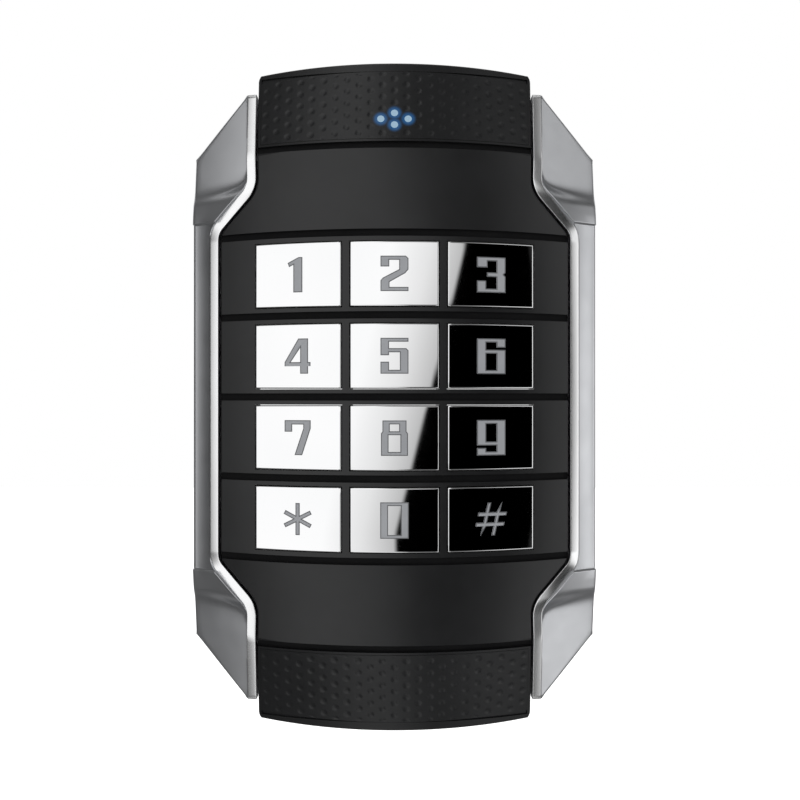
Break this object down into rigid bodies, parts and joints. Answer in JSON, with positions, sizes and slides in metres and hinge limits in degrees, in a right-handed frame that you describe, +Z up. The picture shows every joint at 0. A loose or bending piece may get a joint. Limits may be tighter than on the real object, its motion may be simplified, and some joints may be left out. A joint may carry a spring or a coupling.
{
  "type": "keypad access reader",
  "caption": "Wall-mounted access-control reader: arched black front with plated number keys and status lights, in a silver frame with sloped wings, on a steel wall plate.",
  "frame": {"origin": "middle of the two wall-screw slots, on the wall face of the mounting plate", "axes": "+X to the right, +Z up, the front faces -Y and the wall is the plane Y = 0"},
  "size_m": [0.087, 0.0273, 0.142],
  "materials": {
    "front_plastic": "satin black moulded ABS with a fine grain",
    "cast_silver": "die-cast zinc with a satin silver finish",
    "plated_key": "mirror-plated key shell",
    "key_core": "milky light-spreading plastic",
    "seal_rubber": "soft black silicone",
    "mat_rubber": "pale grey silicone",
    "carbon": "conductive carbon rubber",
    "back_plastic": "matte dark grey moulded ABS",
    "plate_steel": "zinc-plated sheet steel",
    "screw_steel": "plated steel",
    "spring_steel": "spring wire",
    "board": "green solder mask over glass-fibre board",
    "copper": "flat copper turns",
    "pin_metal": "tinned contact",
    "chip_black": "moulded chip package",
    "socket_white": "white nylon",
    "switch_blue": "blue moulded switch body",
    "slider_white": "white slider",
    "capacitor_can": "drawn can",
    "led_body": "clear resin light",
    "light_pipe": "clear light pipe that glows pale blue"
  },
  "bodies": {
    "reader_body": {"front_cover": "front_plastic", "side_housing": "cast_silver", "housing_seal": "seal_rubber", "back_cover": "back_plastic", "mounting_plate": "plate_steel", "main_board": "board", "antenna_coil": "copper", "keypad_mat": "mat_rubber", "contact_pills": "carbon", "backlight_leds": "led_body", "status_leds": "led_body", "status_light_guide": "light_pipe", "buzzer": "chip_black", "controller_chip": "chip_black", "reader_chip": "chip_black", "input_capacitor": "capacitor_can", "small_parts": "chip_black", "wiring_socket": "socket_white", "socket_pins": "pin_metal", "dip_switch_body": "switch_blue", "tamper_switch_body": "chip_black", "tamper_spring": "spring_steel", "board_screws": "screw_steel", "cover_screws": "screw_steel", "back_cover_screws": "screw_steel", "security_screw": "screw_steel"},
    "tamper_plunger": {"tamper_plunger": "slider_white"},
    "dip_slider_1": {"dip_slider_1": "slider_white"},
    "dip_slider_2": {"dip_slider_2": "slider_white"},
    "dip_slider_3": {"dip_slider_3": "slider_white"},
    "dip_slider_4": {"dip_slider_4": "slider_white"},
    "dip_slider_5": {"dip_slider_5": "slider_white"},
    "dip_slider_6": {"dip_slider_6": "slider_white"},
    "dip_slider_7": {"dip_slider_7": "slider_white"},
    "dip_slider_8": {"dip_slider_8": "slider_white"},
    "key_1": {"key_1_cap": "plated_key", "key_1_light_core": "key_core"},
    "key_2": {"key_2_cap": "plated_key", "key_2_light_core": "key_core"},
    "key_3": {"key_3_cap": "plated_key", "key_3_light_core": "key_core"},
    "key_4": {"key_4_cap": "plated_key", "key_4_light_core": "key_core"},
    "key_5": {"key_5_cap": "plated_key", "key_5_light_core": "key_core"},
    "key_6": {"key_6_cap": "plated_key", "key_6_light_core": "key_core"},
    "key_7": {"key_7_cap": "plated_key", "key_7_light_core": "key_core"},
    "key_8": {"key_8_cap": "plated_key", "key_8_light_core": "key_core"},
    "key_9": {"key_9_cap": "plated_key", "key_9_light_core": "key_core"},
    "key_star": {"key_star_cap": "plated_key", "key_star_light_core": "key_core"},
    "key_0": {"key_0_cap": "plated_key", "key_0_light_core": "key_core"},
    "key_hash": {"key_hash_cap": "plated_key", "key_hash_light_core": "key_core"}
  },
  "joints": [
    {"name": "dip_slider_1_slide", "type": "slide", "parent": "reader_body", "child": "dip_slider_1", "axis": [0, 0, 1], "range_m": [0, 0.0014]},
    {"name": "dip_slider_2_slide", "type": "slide", "parent": "reader_body", "child": "dip_slider_2", "axis": [0, 0, 1], "range_m": [0, 0.0014]},
    {"name": "dip_slider_3_slide", "type": "slide", "parent": "reader_body", "child": "dip_slider_3", "axis": [0, 0, 1], "range_m": [0, 0.0014]},
    {"name": "dip_slider_4_slide", "type": "slide", "parent": "reader_body", "child": "dip_slider_4", "axis": [0, 0, 1], "range_m": [0, 0.0014]},
    {"name": "dip_slider_5_slide", "type": "slide", "parent": "reader_body", "child": "dip_slider_5", "axis": [0, 0, 1], "range_m": [0, 0.0014]},
    {"name": "dip_slider_6_slide", "type": "slide", "parent": "reader_body", "child": "dip_slider_6", "axis": [0, 0, 1], "range_m": [0, 0.0014]},
    {"name": "dip_slider_7_slide", "type": "slide", "parent": "reader_body", "child": "dip_slider_7", "axis": [0, 0, 1], "range_m": [0, 0.0014]},
    {"name": "dip_slider_8_slide", "type": "slide", "parent": "reader_body", "child": "dip_slider_8", "axis": [0, 0, 1], "range_m": [0, 0.0014]},
    {"name": "tamper_slide", "type": "slide", "parent": "reader_body", "child": "tamper_plunger", "axis": [0, 1, 0], "range_m": [0, 0.002], "stiffness_N_per_m": 60, "springref_m": 0.003, "deforming": ["tamper_spring"]},
    {"name": "key_1_press", "type": "slide", "parent": "reader_body", "child": "key_1", "axis": [0, 1, 0], "range_m": [0, 0.0012], "stiffness_N_per_m": 900, "deforming": ["keypad_mat", "contact_pills"]},
    {"name": "key_2_press", "type": "slide", "parent": "reader_body", "child": "key_2", "axis": [0, 1, 0], "range_m": [0, 0.0012], "stiffness_N_per_m": 900, "deforming": ["keypad_mat", "contact_pills"]},
    {"name": "key_3_press", "type": "slide", "parent": "reader_body", "child": "key_3", "axis": [0, 1, 0], "range_m": [0, 0.0012], "stiffness_N_per_m": 900, "deforming": ["keypad_mat", "contact_pills"]},
    {"name": "key_4_press", "type": "slide", "parent": "reader_body", "child": "key_4", "axis": [0, 1, 0], "range_m": [0, 0.0012], "stiffness_N_per_m": 900, "deforming": ["keypad_mat", "contact_pills"]},
    {"name": "key_5_press", "type": "slide", "parent": "reader_body", "child": "key_5", "axis": [0, 1, 0], "range_m": [0, 0.0012], "stiffness_N_per_m": 900, "deforming": ["keypad_mat", "contact_pills"]},
    {"name": "key_6_press", "type": "slide", "parent": "reader_body", "child": "key_6", "axis": [0, 1, 0], "range_m": [0, 0.0012], "stiffness_N_per_m": 900, "deforming": ["keypad_mat", "contact_pills"]},
    {"name": "key_7_press", "type": "slide", "parent": "reader_body", "child": "key_7", "axis": [0, 1, 0], "range_m": [0, 0.0012], "stiffness_N_per_m": 900, "deforming": ["keypad_mat", "contact_pills"]},
    {"name": "key_8_press", "type": "slide", "parent": "reader_body", "child": "key_8", "axis": [0, 1, 0], "range_m": [0, 0.0012], "stiffness_N_per_m": 900, "deforming": ["keypad_mat", "contact_pills"]},
    {"name": "key_9_press", "type": "slide", "parent": "reader_body", "child": "key_9", "axis": [0, 1, 0], "range_m": [0, 0.0012], "stiffness_N_per_m": 900, "deforming": ["keypad_mat", "contact_pills"]},
    {"name": "key_star_press", "type": "slide", "parent": "reader_body", "child": "key_star", "axis": [0, 1, 0], "range_m": [0, 0.0012], "stiffness_N_per_m": 900, "deforming": ["keypad_mat", "contact_pills"]},
    {"name": "key_0_press", "type": "slide", "parent": "reader_body", "child": "key_0", "axis": [0, 1, 0], "range_m": [0, 0.0012], "stiffness_N_per_m": 900, "deforming": ["keypad_mat", "contact_pills"]},
    {"name": "key_hash_press", "type": "slide", "parent": "reader_body", "child": "key_hash", "axis": [0, 1, 0], "range_m": [0, 0.0012], "stiffness_N_per_m": 900, "deforming": ["keypad_mat", "contact_pills"]}
  ]
}
